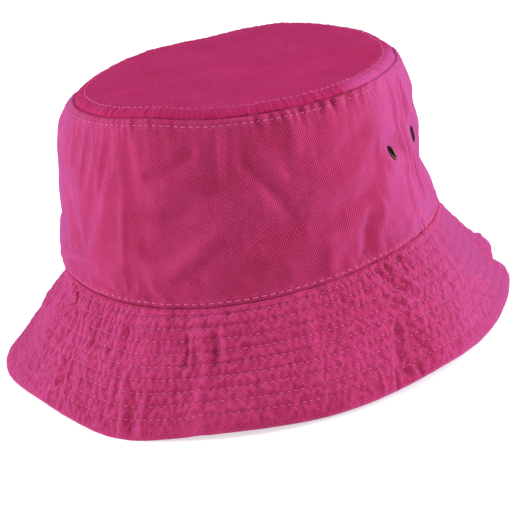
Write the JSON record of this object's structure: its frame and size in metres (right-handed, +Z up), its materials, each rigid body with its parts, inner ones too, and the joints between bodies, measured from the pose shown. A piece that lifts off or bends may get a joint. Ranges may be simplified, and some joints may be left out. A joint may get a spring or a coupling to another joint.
{
  "type": "bucket hat",
  "caption": "Soft bucket hat with an oval flat-topped crown, a quilted drooping brim, brass vent eyelets and a sweatband.",
  "frame": {"origin": "centre of the hat's plan in the plane of the brim's edge, which the hat stands on", "axes": "+Z up, out of the crown; -Y the wearer's front; +X the wearer's left"},
  "size_m": [0.24, 0.2736, 0.134],
  "materials": {
    "twill": "matte cotton twill",
    "thread": "satin spun thread",
    "interlining": "matte",
    "sweatband": "matte cotton twill",
    "seam_tape": "matte",
    "label": "satin woven",
    "antique_brass": "aged satin"
  },
  "bodies": {
    "base": {"crown_side_front": "twill", "crown_side_back": "twill", "side_seam_tape_left": "seam_tape", "side_seam_tape_right": "seam_tape", "band_top_topstitch": "thread", "crown_base_topstitch": "thread", "crown_seam_binding": "seam_tape", "sweatband": "sweatband", "sweatband_edge_stitch": "thread", "care_label": "label"},
    "crown_top": {"crown_top_panel": "twill", "crown_top_binding": "seam_tape", "tip_topstitch": "thread"},
    "eyelets": {"vent_eyelets": "antique_brass", "eyelet_washers": "antique_brass"},
    "brim_front": {"brim_upper_front": "twill", "brim_interlining_front": "interlining", "brim_under_front": "twill", "brim_quilting_front": "thread", "brim_bobbin_thread_front": "thread"},
    "brim_back": {"brim_upper_back": "twill", "brim_interlining_back": "interlining", "brim_under_back": "twill", "brim_quilting_back": "thread", "brim_bobbin_thread_back": "thread"}
  },
  "joints": [
    {"name": "crown_collapse", "type": "slide", "parent": "base", "child": "crown_top", "axis": [0, 0, 1], "range_m": [-0.05, 0], "deforming": ["crown_side_front", "crown_side_back", "side_seam_tape_left", "side_seam_tape_right", "band_top_topstitch", "sweatband", "sweatband_edge_stitch", "care_label"]},
    {"name": "eyelet_follow", "type": "slide", "parent": "base", "child": "eyelets", "axis": [0, 0, 1], "range_m": [-0.029, 0]},
    {"name": "front_brim_turn_up", "type": "slide", "parent": "base", "child": "brim_front", "axis": [0, 0, 1], "range_m": [0, 0.102]},
    {"name": "back_brim_turn_up", "type": "slide", "parent": "base", "child": "brim_back", "axis": [0, 0, 1], "range_m": [0, 0.102]}
  ],
  "couplings": [
    {"joint": "eyelet_follow", "follows": "crown_collapse", "ratio": 0.5641}
  ]
}
